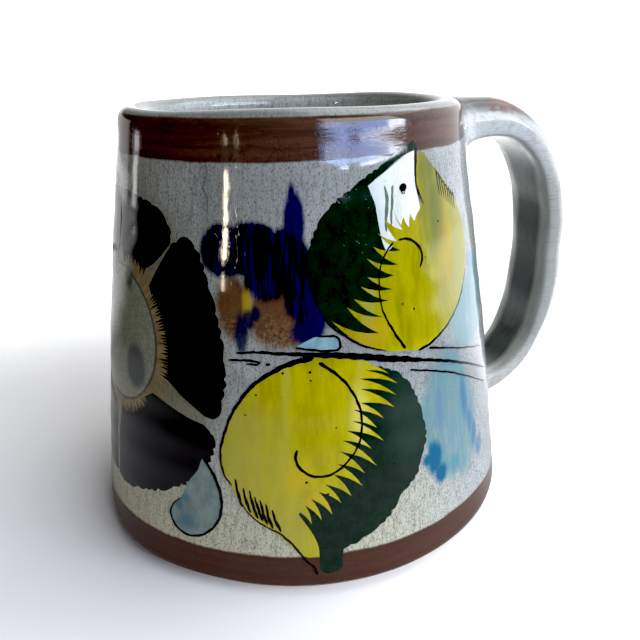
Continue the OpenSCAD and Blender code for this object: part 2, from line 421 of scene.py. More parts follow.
def lower_wing():
    """The lowered wing: yellow field, long teeth over a dark green scalloped edge with a drip."""
    edge = scalloped([(57.4, 46.6), (60.2, 45.6), (63.2, 43.8), (65.2, 41.2), (66.7, 37.8), (67.8, 34.0),
                      (68.3, 30.6), (67.9, 27.6), (66.7, 25.2), (66.0, 22.8), (64.4, 20.8), (62.2, 19.0),
                      (60.8, 16.9), (59.2, 14.9), (57.0, 13.2), (54.4, 11.7), (51.6, 10.6)], -2.5, 0.42, 2.0)
    drip = curve([(50.6, 10.0), (50.4, 8.0), (50.3, 6.2), (49.2, 5.3), (47.6, 5.1), (46.6, 5.9),
                  (46.4, 8.0), (46.3, 11.0)])
    green = area(edge, drip, curve([(45.6, 13.6), (44.2, 16.2), (42.8, 18.8), (43.6, 23.0), (46.0, 27.5),
                                    (47.6, 31.5), (49.0, 35.5), (51.0, 39.5), (52.4, 43.5), (54.0, 46.6)]))
    tips = [(43.0, 18.6), (45.2, 16.3), (47.0, 16.9), (48.9, 17.9), (50.5, 20.2), (52.4, 21.3), (54.5, 23.0),
            (55.0, 25.6), (57.4, 26.5), (56.5, 30.3), (59.0, 31.3), (57.8, 34.2), (59.3, 35.8), (61.5, 37.6),
            (62.1, 39.9), (62.4, 42.2), (60.6, 44.6), (58.0, 46.4)]
    valleys = [(43.3, 19.0), (44.2, 20.4), (45.2, 21.8), (46.6, 23.1), (47.7, 24.6), (49.3, 26.4),
               (50.0, 28.4), (50.5, 30.9), (51.2, 33.0), (52.0, 34.8), (53.0, 36.6), (53.4, 38.8),
               (54.8, 39.9), (54.9, 42.6), (54.8, 44.6), (56.0, 46.0), (56.6, 47.0)]
    yellow = area(curve([(46.4, 9.0), (46.2, 11.6), (45.2, 14.4), (44.0, 16.8)]), teeth(tips, valleys),
                  curve([(56.6, 47.6), (53.4, 48.6), (49.4, 49.6), (45.4, 49.4), (41.4, 48.0), (37.2, 45.6),
                         (33.8, 42.0), (31.2, 37.4), (29.7, 32.4), (29.6, 27.8), (31.2, 23.6), (33.0, 20.2),
                         (35.4, 17.2), (38.4, 14.8), (40.6, 12.8), (42.6, 10.4), (44.4, 9.0)]))
    heads = [(32.0, 25.4), (33.4, 23.7), (34.6, 23.3), (35.5, 22.1), (36.4, 21.5), (37.4, 20.7),
             (38.5, 19.5)]
    feet = [(33.2, 19.6), (34.7, 18.5), (35.9, 17.4), (36.8, 17.0), (37.6, 16.3), (38.5, 15.4),
            (39.9, 14.7)]
    ticks = [line([h, ((h[0] + f[0]) / 2 - 0.15, (h[1] + f[1]) / 2), f], (0.28, 0.5, 0.62, 0.4), i)
             for i, (h, f) in enumerate(zip(heads, feet))]
    ink = ticks + [
        line([(46.6, 49.5), (43.4, 48.8), (40.2, 47.5), (36.6, 45.2), (33.6, 41.8), (31.2, 37.4),
              (29.8, 33.0), (29.3, 29.4), (29.9, 26.2), (31.4, 23.9)],
             (1.1, 0.95, 0.8, 0.7, 0.6, 0.5, 0.5, 0.46, 0.4, 0.24), 11),
        line([(32.6, 21.0), (33.6, 19.4), (35.0, 17.6), (37.2, 15.8), (39.4, 14.6), (41.0, 13.0),
              (42.6, 10.8), (44.0, 8.4), (45.4, 6.6), (45.9, 5.0)],
             (0.16, 0.24, 0.3, 0.3, 0.4, 0.42, 0.36, 0.3, 0.5), 12),
        line([(47.6, 48.4), (49.8, 46.8), (52.3, 44.1), (54.0, 41.0), (54.9, 37.5), (54.8, 34.0),
              (53.8, 31.0), (52.0, 28.5), (49.6, 26.7), (47.1, 26.1), (44.9, 26.8), (43.4, 28.4),
              (42.8, 30.2), (43.2, 31.8)],
             (0.66, 0.56, 0.5, 0.46, 0.42, 0.4, 0.42, 0.46, 0.5, 0.56, 0.5), 13)]
    return {"green": [green], "yellow": [yellow], "ink": ink}


def body_lines():
    """The butterfly's thin body, its feelers, the loop of its head and stray drops of ink."""
    loop = [(43.6, 51.4), (46.4, 50.9), (49.6, 50.5), (51.3, 50.6), (51.7, 51.6), (51.2, 52.8),
            (49.9, 53.2), (47.6, 53.3)]
    ink = [line([(32.6, 50.3), (37.0, 50.6), (41.0, 50.4), (45.0, 50.1), (50.0, 49.6), (55.0, 48.8),
                 (60.0, 47.6), (64.4, 46.5), (68.8, 45.2)],
                (0.3, 0.45, 0.6, 0.9, 1.1, 1.2, 1.25, 1.1, 0.7), 21),
           line([(68.4, 45.3), (73.6, 43.6), (79.0, 41.4), (84.4, 38.9), (90.0, 36.0), (95.4, 33.2)],
                (0.6, 0.62, 0.5, 0.42, 0.34, 0.2), 22),
           line([(70.6, 47.1), (75.0, 45.8), (80.0, 44.1), (86.0, 42.1), (92.0, 40.0)],
                (0.5, 0.3, 0.3, 0.26, 0.14), 23),
           line([(65.4, 44.1), (70.0, 42.6), (76.0, 40.3), (82.0, 37.2), (88.0, 33.8), (93.0, 30.9)],
                (0.3, 0.34, 0.34, 0.28, 0.22, 0.14), 24),
           line([(31.2, 48.9), (34.0, 49.0), (36.4, 48.9), (37.1, 48.7), (36.6, 48.35), (34.6, 48.35)],
                (0.34, 0.36, 0.4, 0.4, 0.36, 0.24), 25),
           ellipse(38.5, 48.4, 0.42, 0.24),
           line(loop, (0.34, 0.4, 0.4, 0.44, 0.4, 0.36, 0.3), 26)]
    drops = ((41.1, 46.8, 0.24), (45.9, 46.8, 0.27), (36.2, 42.6, 0.2), (46.0, 45.2, 0.18),
             (34.2, 38.6, 0.16), (44.6, 25.2, 0.26), (48.2, 22.4, 0.28), (45.4, 18.6, 0.26),
             (60.8, 26.0, 0.16), (67.4, 55.6, 0.24), (76.2, 70.6, 0.22), (64.8, 57.0, 0.18),
             (71.4, 64.6, 0.16), (50.2, 35.6, 0.16))
    ink += [ellipse(s, z, r, r * 0.9) for s, z, r in drops]
    pale = area(curve(loop + [(46.0, 52.8)], closed=True))
    return {"ink": ink, "pale": [pale]}


def leaf():
    """The small hanging leaf with its looped stalk."""
    outline = [(25.8, 28.4), (27.6, 26.0), (28.9, 22.6), (29.3, 19.2), (28.6, 15.8), (26.8, 12.9),
               (24.2, 11.1), (21.4, 10.9), (19.3, 12.4), (18.5, 14.8), (19.3, 16.9), (20.9, 18.6)]
    ink = [line(outline, (0.4, 0.56, 0.56, 0.5, 0.5, 0.46, 0.44, 0.4, 0.34, 0.2), 31)]
    fill = area(curve(outline + [(22.6, 22.6), (24.6, 25.6)], closed=True))
    return {"ink": ink, "leaf": [fill]}


def flower_petals():
    """Dark petals round the big flower, right half: scalloped outside, feathered inside."""
    side = area(
        curve([(12.6, 60.2), (14.6, 63.2), (16.6, 66.0)]),
        scalloped([(18.4, 68.2), (20.4, 69.7), (22.4, 70.2), (24.4, 68.8), (25.8, 66.2), (27.2, 62.6),
                   (28.4, 58.6), (29.5, 54.0), (30.2, 49.2), (30.4, 44.6), (29.8, 40.8), (29.2, 38.2),
                   (27.8, 36.8)], 3.1, 0.55, 0.5),
        curve([(26.2, 37.2), (23.6, 38.9), (21.0, 40.4), (19.4, 41.6)]),
        feathered([(18.0, 42.6), (18.4, 45.2), (18.2, 48.0), (18.0, 51.0), (17.0, 54.2), (15.2, 57.6),
                   (13.4, 59.8)], 0.62, 3.4, 0.4))
    low = area(
        curve([(13.6, 38.8), (16.0, 38.2), (19.4, 37.1), (23.0, 36.0)]),
        scalloped([(25.4, 35.2), (27.6, 34.0), (28.2, 31.8), (27.4, 29.2), (26.2, 26.8), (24.8, 24.6),
                   (22.6, 22.6), (20.2, 21.0), (17.6, 19.4), (14.6, 18.0), (11.6, 16.9), (8.6, 15.8),
                   (5.4, 14.8), (2.2, 14.4), (0.4, 15.6)], 2.6, 0.6, 1.4),
        curve([(0.6, 20.0), (0.8, 25.0), (1.2, 29.0)]),
        feathered([(1.6, 30.2), (4.6, 30.8), (7.6, 31.9), (10.2, 33.6), (12.6, 36.6)], 0.62, 2.8, 1.7))
    top = area(
        scalloped([(0.6, 76.6), (3.4, 76.9), (7.0, 76.4), (10.6, 76.0), (14.0, 75.2), (16.8, 73.2),
                   (18.4, 70.8), (18.0, 68.6)], 3.4, 0.5, 2.2),
        curve([(16.4, 66.8), (14.2, 64.9), (12.4, 63.8)]),
        feathered([(11.4, 63.4), (9.4, 64.2), (7.0, 65.0), (4.4, 65.4), (1.8, 65.2)], 0.62, 2.6, 2.9),
        [(0.6, 66.0)])
    return {"petal": [side, low, top]}


# ---------------------------------------------------------------- painting: thin layers of colour
PAINT_DEPTH = 0.12


def inside(points, ring):
    """Which points lie inside the closed ring, by the even-odd rule."""
    x, y = points[:, 0:1], points[:, 1:2]
    x0, y0 = ring[:, 0], ring[:, 1]
    x1, y1 = np.roll(x0, -1), np.roll(y0, -1)
    with np.errstate(divide="ignore", invalid="ignore"):
        cross = (y0 > y) != (y1 > y)
        hit = cross & (x < (x1 - x0) * (y - y0) / (y1 - y0) + x0)
    return hit.sum(1) % 2 == 1


def filled(ring, pitch=1.25):
    """Triangles that fill a closed outline, with inner points so that they follow the round wall."""
    lo, hi = ring.min(0), ring.max(0)
    gx, gy = np.meshgrid(np.arange(lo[0] + 0.4, hi[0], pitch), np.arange(lo[1] + 0.4, hi[1], pitch))
    grid = np.stack([gx.ravel(), gy.ravel()], -1)
    grid[:, 0] += np.where(np.round(grid[:, 1] / pitch) % 2 == 0, pitch / 2, 0)
    grid = grid[inside(grid, ring)]
    if len(grid):
        gap = np.sqrt(((grid[:, None] - ring[None]) ** 2).sum(-1)).min(1)
        grid = grid[gap > 0.45]
    verts = [Vector(v) for v in np.concatenate([ring, grid]).tolist()]
    edges = [(i, (i + 1) % len(ring)) for i in range(len(ring))]
    out = delaunay_2d_cdt(verts, edges, [], 0, 1e-5, False)
    points = np.array([tuple(v) for v in out[0]])
    tris = np.array([tuple(f)[:3] for f in out[2]])
    corners = points[tris]
    ab, ac = corners[:, 1] - corners[:, 0], corners[:, 2] - corners[:, 0]
    turn = ab[:, 0] * ac[:, 1] - ab[:, 1] * ac[:, 0]
    keep = inside(corners.mean(1), ring) & (np.abs(turn) > 1e-6)
    faces = [tuple(t) if w > 0 else tuple(reversed(t)) for t, w in zip(tris[keep].tolist(), turn[keep])]
    return points, faces


def ribbon(p, w):
    """Points and faces of a line of varying width, with rounded-off ends."""
    t = np.gradient(p, axis=0)
    n = unit(np.stack([-t[:, 1], t[:, 0]], -1))
    w = w.copy()
    w[0] *= 0.5
    w[-1] *= 0.5
    left, right = p + n * w[:, None] / 2, p - n * w[:, None] / 2
    points = np.concatenate([left, right])
    k = len(p)
    faces = [(k + i, k + i + 1, i + 1, i) for i in range(k - 1)]
    return points, faces


def wall_place(points, side, lift):
    """Unrolled (s, z) points carried on to the pot: side is 1 for the front and -1 for the back."""
    s, z = points[:, 0], points[:, 1]
    stretch = 1.0 if side > 0 else BACK_STRETCH
    theta = FLOWER_AZIMUTH + side * s * stretch / PAINT_R
    return wall_point(theta, z, lift)


def paint_layer(name, shapes, side, lift, material):
    """One layer of colour: every shape as a thin closed slab that sinks into the glaze."""
    points, normals, faces = [], [], []
    for shape in shapes:
        flat, tris = filled(shape[1]) if shape[0] == "area" else ribbon(shape[1], shape[2])
        top, n = wall_place(flat, side, lift)
        low, _ = wall_place(flat, side, -PAINT_DEPTH)
        at, count = sum(len(p) for p in points), len(flat)
        points += [top, low]
        normals += [n, n]
        flip = side < 0
        seen = {}
        for f in tris:
            f = tuple(reversed(f)) if flip else f
            faces.append(tuple(at + i for i in f))
            faces.append(tuple(at + count + i for i in reversed(f)))
            for a, b in zip(f, f[1:] + f[:1]):
                seen[(a, b)] = True
        for a, b in seen:
            if (b, a) not in seen:
                faces.append((at + b, at + a, at + count + a, at + count + b))
    obj = new_mesh(name, np.concatenate(points), faces, np.concatenate(normals))
    obj.data.materials.append(material)
    return obj


# ---------------------------------------------------------------- handle
def bend_point(a, b, n, phi):
    """Point of the bend, a superellipse of power n, at the angle phi."""
    c, s = math.cos(phi), math.sin(phi)
    return (BEND_X + a * max(c, 0) ** (2 / n), HANDLE_MID_Z + b * math.copysign(abs(s) ** (2 / n), s))


def strap_face(a, top, bottom, n, root_z, x_in, x_out):
    """One face of the strap in the plane y = 0: out of the wall at the top, round the bend and back in."""
    stub = [(x_in + (BEND_X - x_in) * f, root_z + (top - root_z) * f * f * (3 - 2 * f))
            for f in np.linspace(0, 1, 16)[:-1]]
    upper = [bend_point(a, top - HANDLE_MID_Z, n, math.pi / 2 * (1 - f)) for f in np.linspace(0, 1, 56)]
    lower = [bend_point(a, HANDLE_MID_Z - bottom, n, -math.pi / 2 * f) for f in np.linspace(0, 1, 56)[1:]]
    end = [(BEND_X + (x_out - BEND_X) * f, bottom) for f in np.linspace(0, 1, 4)[1:]]
    return np.array(stub + upper + lower + end)


def handle_mesh():
    """The strap as one closed mesh: a D-shaped section, roots flared into the wall, finger bumps."""
    x_in = wall_r(85) - 2.2
    x_out = wall_r(15.6) - 2.0
    outside = strap_face(HANDLE_REACH - BEND_X, UPPER_TOP_Z, LOWER_ROOT_Z, OUTER_BEND,
                         UPPER_TOP_Z, x_in, x_out)
    inside = strap_face(HANDLE_REACH - STRAP_T - BEND_X, UPPER_TOP_Z - UPPER_ROOT_H + STUB_RISE,
                        LOWER_ROOT_Z + LOWER_ROOT_H, INNER_BEND, UPPER_TOP_Z - UPPER_ROOT_H, x_in, x_out)
    rings, sections = len(inside), 56
    run = np.concatenate([[0], np.cumsum(np.linalg.norm(np.diff((inside + outside) / 2, axis=0), axis=1))])
    points = []
    for i in range(rings):
        p, q = inside[i], outside[i]
        axis = (q - p) / np.linalg.norm(q - p)
        upper = i < rings / 2
        gap = p[0] - (wall_r(p[1]) if 0 < p[1] < MUG_H else 0)
        near = float(np.clip(1 - gap / 4.6, 0, 1)) ** 2
        depth_flare = (1.5 if upper else 1.3) * near
        top_flare = (0.25 if upper else 1.0) * near
        width = STRAP_W / 2 + 2.0 * near
        mid_share = math.sin(math.pi * i / (rings - 1))
        press = 0.22 * math.sin(run[i] / 3.4 + 0.6) * mid_share + 0.12 * math.sin(run[i] / 1.9) * mid_share
        width += 0.2 * math.sin(run[i] / 5.2) * mid_share
        lean_y = 0.35 * math.sin(run[i] / 21.0)
        for k in range(sections):
            psi = 2 * math.pi * (k + 0.5) / sections
            c, s = math.cos(psi), math.sin(psi)
            if s < 0:
                side = math.copysign(abs(c) ** 0.36, c)
                depth = 0.34 * (1 - (-s) ** 0.45)
            else:
                side = math.copysign(abs(c) ** 0.72, c)
                depth = 0.34 + 0.66 * s ** 0.9
            grow = -depth_flare * (1 - depth) + top_flare * depth
            along = p + (q - p) * depth + axis * (grow + press * max(s, 0) ** 0.5)
            if s < 0:
                along = along - axis * 0.18 * math.sin(run[i] / 2.6 + 2 * c) * mid_share * abs(s)
            points.append((along[0], side * width + lean_y, along[1]))
    faces = []
    for i in range(rings - 1):
        for k in range(sections):
            a, b = i * sections + k, i * sections + (k + 1) % sections
            faces.append((a, a + sections, b + sections, b))
    faces.append(tuple(range(sections)))
    faces.append(tuple((rings - 1) * sections + k for k in reversed(range(sections))))
    return new_mesh("handle_glaze_skin", points, faces,
                    replaced=("handle_glaze", "upper_joint", "lower_joint"))


# ---------------------------------------------------------------- node writing
GLAZE_SPECULAR = 0.42
GLAZE_IOR = 1.52
FRONT_TURN = math.radians(-105) - FLOWER_AZIMUTH


class Val:
    """A socket of a node tree that takes part in ordinary arithmetic."""

    def __init__(self, sheet, socket):
        self.sheet, self.socket = sheet, socket

    def __add__(self, other):
        return self.sheet.math("ADD", self, other)

    def __sub__(self, other):
        return self.sheet.math("SUBTRACT", self, other)

    def __mul__(self, other):
        return self.sheet.math("MULTIPLY", self, other)

    def __truediv__(self, other):
        return self.sheet.math("DIVIDE", self, other)

    def __rsub__(self, other):
        return self.sheet.math("SUBTRACT", other, self)

    __radd__ = __add__
    __rmul__ = __mul__


class Sheet:
    """A material's node tree, with short calls for the nodes that the glazes use."""

    def __init__(self, name):
        self.material = bpy.data.materials.new(name)
        self.material.use_nodes = True
        self.tree = self.material.node_tree
        self.tree.nodes.clear()
        self.out = self.add("OutputMaterial")
        scaled = self.add("VectorMath")
        scaled.operation = "SCALE"
        self.link(self.add("TexCoord").outputs["Object"], scaled.inputs[0])
        scaled.inputs["Scale"].default_value = 1 / MM
        self.place = Val(self, scaled.outputs[0])
        self.x, self.y, self.z = self.split(scaled.outputs[0])

    def add(self, kind):
        """A new node, with its kind given without the usual ShaderNode in front."""
        return self.tree.nodes.new("ShaderNode" + kind)

    def link(self, source, target):
        self.tree.links.new(source, target)

    def split(self, vector):
        """The three parts of a vector socket."""
        node = self.add("SeparateXYZ")
        self.link(vector, node.inputs[0])
        return tuple(Val(self, node.outputs[i]) for i in range(3))

    def put(self, socket, value):
        """Feed a socket from a Val, or give it a constant; colours may leave out their alpha."""
        if isinstance(value, Val):
            self.link(value.socket, socket)
        elif isinstance(value, (tuple, list)) and len(socket.default_value) == 4 and len(value) == 3:
            socket.default_value = (*value, 1)
        else:
            socket.default_value = value

    def math(self, operation, a, b=None):
        node = self.add("Math")
        node.operation = operation
        for i, value in enumerate((a, b)):
            if value is not None:
                self.put(node.inputs[i], value)
        return Val(self, node.outputs[0])

    def high(self, a, b):
        return self.math("MAXIMUM", a, b)

    def ramp(self, value, start, end, to0=0.0, to1=1.0):
        """Smooth step of value from start to end."""
        node = self.add("MapRange")
        node.interpolation_type = "SMOOTHSTEP"
        for i, v in enumerate((value, start, end, to0, to1)):
            self.put(node.inputs[i], v)
        return Val(self, node.outputs[0])

    def vec(self, x, y, z=0.0):
        """A vector from three parts."""
        node = self.add("CombineXYZ")
        for i, v in enumerate((x, y, z)):
            self.put(node.inputs[i], v)
        return Val(self, node.outputs[0])

    def noise(self, where, scale, detail=2.0, rough=0.5):
        """Fractal noise, 0 to 1, with scale in waves per millimetre."""
        node = self.add("TexNoise")
        self.put(node.inputs["Vector"], where)
        node.inputs["Scale"].default_value = scale
        node.inputs["Detail"].default_value = detail
        node.inputs["Roughness"].default_value = rough
        return Val(self, node.outputs[0])

    def cells(self, where, scale, feature="DISTANCE_TO_EDGE"):
        """Distance to the edge of the nearest cell, or to its centre with feature F1."""
        node = self.add("TexVoronoi")
        node.feature = feature
        self.put(node.inputs["Vector"], where)
        node.inputs["Scale"].default_value = scale
        node.inputs["Randomness"].default_value = 1.0
        return Val(self, node.outputs["Distance"])

    def mix(self, share, a, b):
        """Colour a with colour b laid over it by share, 0 to 1."""
        node = self.add("Mix")
        node.data_type = "RGBA"
        self.put(node.inputs[0], share)
        self.put(node.inputs[6], a)
        self.put(node.inputs[7], b)
        return Val(self, node.outputs[2])

    def lay(self, under, share, *tone):
        """Colour under, with a tone given in 8-bit screen values laid over it by share."""
        return self.mix(share, under, srgb(*tone))

    def finish(self, colour, rough, height, strength=0.35, depth=0.1, **fixed):
        """Principled surface with bump; fixed holds constant values for the shader's own sockets."""
        shader = self.add("BsdfPrincipled")
        bump = self.add("Bump")
        bump.inputs["Strength"].default_value = strength
        bump.inputs["Distance"].default_value = depth * MM
        self.put(bump.inputs["Height"], height)
        self.link(bump.outputs[0], shader.inputs["Normal"])
        self.put(shader.inputs["Base Color"], colour)
        self.put(shader.inputs["Roughness"], rough)
        for key, value in fixed.items():
            shader.inputs[key.replace("_", " ")].default_value = value
        self.link(shader.outputs[0], self.out.inputs[0])
        return self.material


def srgb(r, g, b):
    """Linear colour from 8-bit screen values."""
    return tuple(((v / 255 + 0.055) / 1.055) ** 2.4 if v > 10 else v / 255 / 12.92 for v in (r, g, b))


def wall_coordinates(m):
    """Sockets of the painting's layout: s from the flower's centre, alike on both sides, height z, and
    full, which runs on round the whole mug; all in millimetres."""
    ca, sa = math.cos(-FLOWER_AZIMUTH), math.sin(-FLOWER_AZIMUTH)
    along = m.x * ca - m.y * sa
    across = m.x * sa + m.y * ca
    angle = m.math("ARCTAN2", m.math("ABSOLUTE", across), along)
    back = m.math("LESS_THAN", across, 0.0)
    s = angle * PAINT_R * (1 - back * (1 - 1 / BACK_STRETCH))
    full = m.math("ARCTAN2", across, along) * PAINT_R
    return s, m.z, full


def glaze_relief(m, full):
    """Streaks, pits and hairlines that every grey glaze shares."""
    streak = m.noise(m.vec(full, m.z * 0.14, 0.0), 1.5, 4.0, 0.65)
    fine = m.noise(m.vec(full, m.z * 0.42, 3.0), 4.6, 3.0, 0.7)
    cloud = m.noise(m.place, 0.045, 2.0, 0.5)
    sway = m.noise(m.place, 0.30, 3.0) - 0.5
    sway_up = m.noise(m.place, 0.24, 3.0) - 0.5
    craze = m.cells(m.vec(full + sway * 3.4, m.z * 0.42 + sway_up * 3.0), 0.20)
    craze_line = m.ramp(craze, 0.003, 0.014, 1.0, 0.0) * m.ramp(m.noise(m.place, 0.07, 2.0), 0.46, 0.60)
    hair = m.cells(m.vec(full + sway * 1.6, m.z * 0.30 + sway_up * 1.2, 5.0), 0.55)
    hair_line = m.ramp(hair, 0.004, 0.022, 1.0, 0.0) * m.ramp(m.noise(m.place, 0.11, 2.0), 0.50, 0.64)
    craze_line = m.high(craze_line, hair_line * 0.6)
    pit = m.cells(m.place, 0.8, "F1")
    pit_mark = m.ramp(pit, 0.05, 0.12, 1.0, 0.0) * m.ramp(m.noise(m.place, 0.16, 1.0), 0.46, 0.60)
    return streak, fine, cloud, craze_line, pit_mark


def wavy(m, relief):
    """Height of a glaze's surface from its streaks, fine streaks, crackle and pits."""
    streak, fine, craze, pit = relief
    return streak * 0.3 + fine * 0.10 - craze * 0.35 - pit * 1.6 + m.noise(m.place, 0.35, 2.0) * 0.35


def glazed(m, colour, rough, height, strength=0.16, depth=0.10):
    """The finished material of a glassy glaze."""
    return m.finish(colour, rough, height, strength, depth, IOR=GLAZE_IOR,
                    Specular_IOR_Level=GLAZE_SPECULAR)


def blob(m, s, z, s0, z0, a, b, soft=0.25, ragged=None):
    """Soft-edged ellipse about (s0, z0), 1 inside and 0 outside."""
    u = (s - s0) / a
    v = (z - z0) / b
    d = m.math("SQRT", u * u + v * v)
    if ragged is not None:
        d = d + ragged
    return m.ramp(d, 1 - soft, 1 + soft, 1.0, 0.0)


def union(m, masks):
    """Where any of the masks is."""
    out = masks[0]
    for mask in masks[1:]:
        out = m.high(out, mask)
    return out


def soft_painting(m, s, z, full, base):
    """The parts of the painting with soft edges: washes, the flower's eye and feathers, the blue flower."""
    bleed = (m.noise(m.vec(full, z * 0.45, 2.0), 0.42, 3.0, 0.6) - 0.5) * 0.5
    drift = (m.noise(m.vec(full, z * 0.3, 5.0), 1.3, 2.0, 0.6) - 0.5) * 0.35
    ragged = bleed + drift
    speck = m.noise(m.vec(full, z, 4.0), 1.6, 4.0, 0.75)
    streak = m.noise(m.vec(full, z * 0.12, 6.0), 1.1, 3.0, 0.6)

    def frayed(s0, z0, a, b, soft, share=None):
        """A soft ellipse whose edge frays, by the whole raggedness or a share of it."""
        return blob(m, s, z, s0, z0, a, b, soft, ragged * share if share else ragged)

    def spots(*shapes):
        return union(m, [frayed(*shape) for shape in shapes])

    def dab(share, tone, *shapes):
        """The colour so far with a tone laid over it on some soft ellipses."""
        return m.mix(spots(*shapes) * share, colour, srgb(*tone))

    # pale blue washes of the butterfly's far wings, with their deeper dabs
    wash = spots((75.5, 31.0, 8.0, 14.0, 0.16, 0.5), (79.5, 28.0, 5.5, 12.0, 0.20, 0.5),
                 (86.0, 50.5, 8.5, 7.5, 0.30, 0.6), (91.0, 55.0, 4.5, 6.5, 0.30, 0.6))
    colour = m.mix(wash * m.ramp(streak, 0.25, 0.62, 0.55, 1.0), base, srgb(104, 142, 146))
    deep = spots((70.2, 23.6, 1.9, 3.9, 0.35), (68.6, 24.0, 1.5, 1.4, 0.5), (71.8, 19.6, 1.7, 2.2, 0.4))
    colour = m.lay(colour, deep, 8, 94, 128)
    colour = dab(0.55, (40, 132, 146), (75.6, 20.2, 1.7, 2.0, 0.6))
    colour = dab(0.7, (36, 106, 142), (84.0, 22.5, 1.3, 3.4, 0.4), (86.0, 19.0, 1.8, 2.4, 0.45),
                 (82.4, 26.6, 1.0, 3.0, 0.5), (80.6, 33.0, 1.2, 5.0, 0.6))
    colour = dab(0.6, (94, 124, 160), (89.4, 60.4, 2.8, 1.6, 0.5), (72.4, 34.0, 1.0, 4.0, 0.6))

    # the big flower: olive halo, feathered ring, grey-green eye with its thin rim, blue-grey oval
    ring_s = s - 0.5
    ring_z = z - 48.0
    radius = m.math("SQRT", ring_s * ring_s + ring_z * ring_z)
    turn = m.math("ARCTAN2", ring_z, ring_s)
    halo = m.ramp(radius + ragged * 5.0, 25.0, 34.0, 1.0, 0.0)
    colour = m.lay(colour, halo * 0.62, 104, 98, 66)
    feather = m.noise(m.vec(turn * 16.0, radius * 0.10, 1.0), 1.0, 3.0, 0.65)
    near = m.ramp(radius - feather * 9.0, 11.4, 15.6, 1.0, 0.0)
    colour = m.lay(colour, near * 0.85, 140, 126, 92)
    tan_ray = m.ramp(feather, 0.50, 0.60) * m.ramp(radius, 14.0, 20.5, 1.0, 0.0)
    colour = m.lay(colour, tan_ray * 0.5, 176, 158, 122)
    eye = m.ramp(radius + ragged * 0.8, 14.1, 14.5, 1.0, 0.0)
    inner = m.mix(m.ramp(speck, 0.4, 0.65), srgb(136, 140, 128), srgb(162, 166, 152))
    colour = m.mix(eye, colour, inner)
    rim = m.ramp(m.math("ABSOLUTE", radius + ragged * 0.8 - 14.2), 0.12, 0.42, 1.0, 0.0)
    colour = m.lay(colour, rim * 0.75, 58, 60, 52)
    colour = dab(0.85, (94, 97, 106), (7.8, 42.6, 3.6, 4.6, 0.22, 0.4))
    colour = dab(0.8, (38, 46, 38), (4.4, 60.6, 1.6, 2.6, 0.5))

    # the blue flower: sooty cobalt lobes over a speckled brown throat
    throat = spots((32.2, 58.5, 3.4, 5.8, 0.30), (40.4, 57.0, 5.6, 5.6, 0.28),
                   (43.2, 54.4, 4.4, 3.0, 0.35))
    brown = m.mix(m.ramp(speck, 0.42, 0.62), srgb(78, 51, 32), srgb(136, 102, 62))
    brown = m.lay(brown, m.ramp(z + (streak - 0.5) * 6.0, 53.0, 60.0), 96, 60, 30)
    colour = m.mix(throat * 0.92, colour, brown)
    # a gold streak in the throat: a painted reflection of a warm lamp
    colour = dab(0.85, (176, 150, 44), (34.9, 59.6, 0.9, 3.2, 0.45))
    colour = dab(0.9, (22, 32, 64), (33.6, 53.8, 1.3, 3.6, 0.4), (35.0, 56.6, 1.2, 1.9, 0.4),
                 (36.4, 57.6, 0.9, 1.4, 0.4))
    bright = union(m, [frayed(47.4, 56.8, 1.9, 4.6, 0.25), frayed(45.6, 54.2, 2.9, 2.3, 0.35),
                       blob(m, s, z, 44.0, 73.4, 2.0, 5.6, 0.22, drift),
                       blob(m, s, z, 43.7, 77.6, 0.75, 2.6, 0.4)])
    colour = m.lay(colour, bright * 0.95, 10, 17, 70)
    lobes = spots((30.6, 68.6, 5.3, 4.7, 0.12, 0.6), (36.0, 68.8, 6.2, 5.0, 0.10, 0.5),
                  (41.4, 67.2, 4.8, 5.4, 0.14, 0.6), (44.4, 63.2, 2.9, 7.8, 0.16, 0.7),
                  (39.2, 63.8, 5.4, 3.8, 0.25))
    cobalt = m.mix(m.ramp(streak, 0.48, 0.66), srgb(8, 8, 30), srgb(18, 20, 84))
    return m.mix(lobes, colour, cobalt)


def paint(name, tones, scale=0.35, streaks=0.5):
    """A painted colour under the glaze: its dark, middle and pale tones, drawn out in brush streaks."""
    dark, middle, pale = (srgb(*tone) for tone in tones)
    m = Sheet(name)
    s, z, full = wall_coordinates(m)
    streak, fine, _, craze, pit = glaze_relief(m, full)
    tone = m.noise(m.vec(full, z * (1 - streaks * 0.86), 8.0), scale, 4.0, 0.62)
    colour = m.mix(m.ramp(tone, 0.34, 0.62), dark, middle)
    grain = m.noise(m.place, 1.9, 4.0, 0.72)
    colour = m.mix(m.ramp(grain, 0.52, 0.72) * 0.25, colour, pale)
    colour = m.mix(m.ramp(fine, 0.56, 0.76) * 0.3, colour, dark)
    return m, s, z, full, colour, (streak, fine, craze, pit)


def paint_finish(m, colour, relief, rough=0.04):
    """The clear glaze over a painted colour."""
    pit = relief[-1]
    colour = m.lay(colour, pit * 0.6, 30, 28, 24)
    height = wavy(m, relief)
    gloss = m.ramp(m.noise(m.place, 0.2, 3.0), 0.3, 0.7, rough, rough + 0.05)
    return glazed(m, colour, gloss + pit * 0.2, height)


